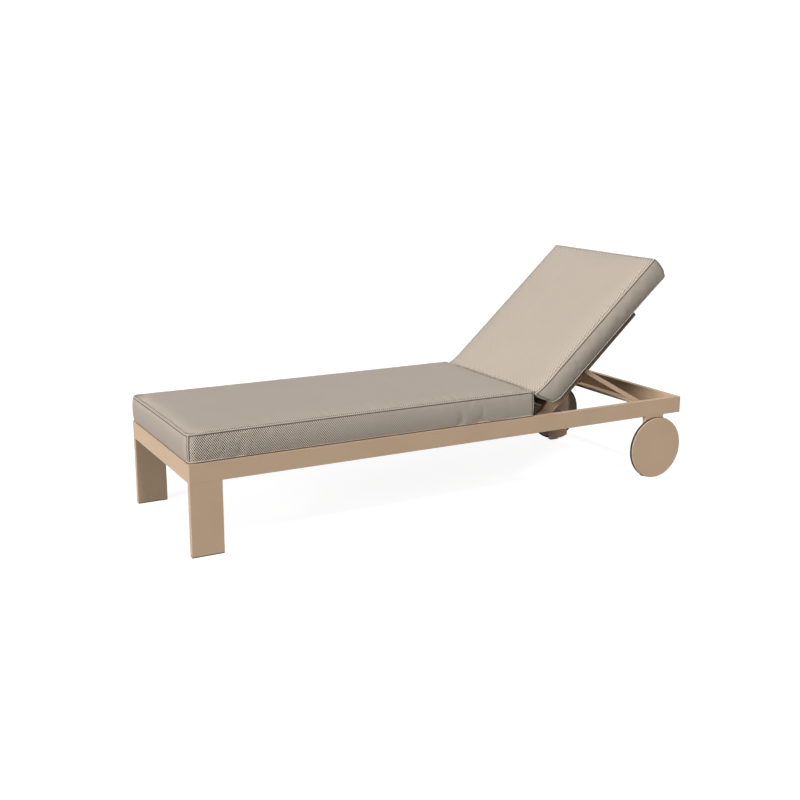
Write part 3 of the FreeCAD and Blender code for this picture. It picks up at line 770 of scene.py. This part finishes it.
# Topstitching: a row of lockstitches in dark polyester thread, sewn through the top panel and the
# seam's turned edge a little inside the piping.
thread_radius = 0.0008
stitch_length = 0.0042
stitch_pitch = 0.0060
thread_colour = (0.115, 0.092, 0.074, 1)
thread_shade = (0.075, 0.060, 0.048, 1)
ply_scale = 2200.0


def thread_finish():
    material = bpy.data.materials.new("sewing_thread")
    thread = Wiring(material)
    place = thread.add("ShaderNodeTexCoord", out="Object")
    ply = thread.noise(place, ply_scale)
    look = {"Base Color": thread.mix(ply, thread_colour, thread_shade), "Roughness": 0.6 + ply * 0.2}
    body = thread.add("ShaderNodeBsdfPrincipled", {}, look)
    thread.add("ShaderNodeOutputMaterial", {}, {"Surface": body})
    return material


sewing_thread = thread_finish()
stitch_tree = Shaping("stitches", Radius="NodeSocketFloat", Length="NodeSocketFloat",
                      Pitch="NodeSocketFloat", Finish="NodeSocketMaterial")
stitch_line = stitch_tree.add("GeometryNodeMeshToCurve", {}, {0: stitch_tree.given.outputs["Geometry"]})
stitch_points = stitch_tree.tree.nodes.new("GeometryNodeCurveToPoints")
stitch_points.mode = "LENGTH"
stitch_tree.tree.links.new(stitch_line, stitch_points.inputs["Curve"])
stitch_tree.tree.links.new(stitch_tree.given.outputs["Pitch"], stitch_points.inputs["Length"])
stitch_bead = stitch_tree.add("GeometryNodeMeshCylinder", {},
                              {"Vertices": 6, "Radius": stitch_tree.given.outputs["Radius"],
                               "Depth": stitch_tree.given.outputs["Length"]})
stitch_all = stitch_tree.add("GeometryNodeInstanceOnPoints", {},
                             {"Points": stitch_points.outputs["Points"], "Instance": stitch_bead,
                              "Rotation": stitch_points.outputs["Rotation"]})
stitch_tree.end(stitch_all)
for name, paths, body in (("seat_stitches", seat_paths, "frame"),
                          ("back_stitches", back_paths, "back_cushion")):
    stitches = stitch_tree.make(name, [(paths["stitch"], True)], Radius=thread_radius,
                                Length=stitch_length, Pitch=stitch_pitch, Finish=sewing_thread)
    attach(stitches, body)
    if body == "back_cushion":
        settle(stitches)


# Fold strip: a doubled strip of the cover cloth sewn to the seat's rear top seam and the back's
# lower front seam. It is the mattress's hinge, which on the lounger bends as the back goes up and
# down; here it is built once between the two seams as they lie, with the back raised.
strip_thickness = 0.0012
strip_half = 0.280
strip_columns = 60
strip_rows = 8
strip_sag = 0.003
seat_seam_reach = 0.015
back_seam_reach = 0.010


def seam_across(path, near, places):
    """Points of the stretch of a seam near an end of its section, at these places along Y."""
    stretch = sorted((p for p in path if near(p)), key=lambda p: p.y)
    known = np.array(stretch)
    return [Vector((np.interp(y, known[:, 1], known[:, 0]), y, np.interp(y, known[:, 1], known[:, 2])))
            for y in places]


strip_ys = [strip_half * (2 * c / strip_columns - 1) for c in range(strip_columns + 1)]
seat_edge = max(p.x for p in seat_paths["top"])
back_edge = min(p.z for p in back_paths["top"])
strip_starts = seam_across(seat_paths["top"], lambda p: p.x > seat_edge - seat_seam_reach, strip_ys)
strip_ends = seam_across(back_paths["top"], lambda p: p.z < back_edge + back_seam_reach, strip_ys)
strip_mesh = bmesh.new()
strip_run = strip_mesh.loops.layers.uv.new("cloth")
strip_seam = strip_mesh.loops.layers.uv.new("seam")
strip_grid = []
for r in range(strip_rows + 1):
    share = r / strip_rows
    slack = Vector((strip_sag * math.sin(math.pi * share), 0, 0))
    row = [a.lerp(b, share) + slack for a, b in zip(strip_starts, strip_ends)]
    strip_grid.append([strip_mesh.verts.new(spot) for spot in row])
for r in range(strip_rows):
    for c in range(strip_columns):
        ring = [strip_grid[r][c], strip_grid[r + 1][c], strip_grid[r + 1][c + 1], strip_grid[r][c + 1]]
        face = strip_mesh.faces.new(ring)
        face.smooth = True
        for loop in face.loops:
            loop[strip_run].uv = (loop.vert.co.z, loop.vert.co.y)
            loop[strip_seam].uv = (1.0, 1.0)
strip_data = bpy.data.meshes.new("fold_strip")
strip_mesh.to_mesh(strip_data)
strip_mesh.free()
strip_data.materials.append(woven_cloth)
fold_strip = bpy.data.objects.new("fold_strip", strip_data)
scene.collection.objects.link(fold_strip)
strip_wall = fold_strip.modifiers.new("wall", "SOLIDIFY")
strip_wall.thickness = strip_thickness
strip_wall.offset = 0.0
strip_walled = fold_strip.evaluated_get(bpy.context.evaluated_depsgraph_get())
strip_done = bpy.data.meshes.new_from_object(strip_walled)
fold_strip.modifiers.clear()
fold_strip.data = strip_done
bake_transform(fold_strip)
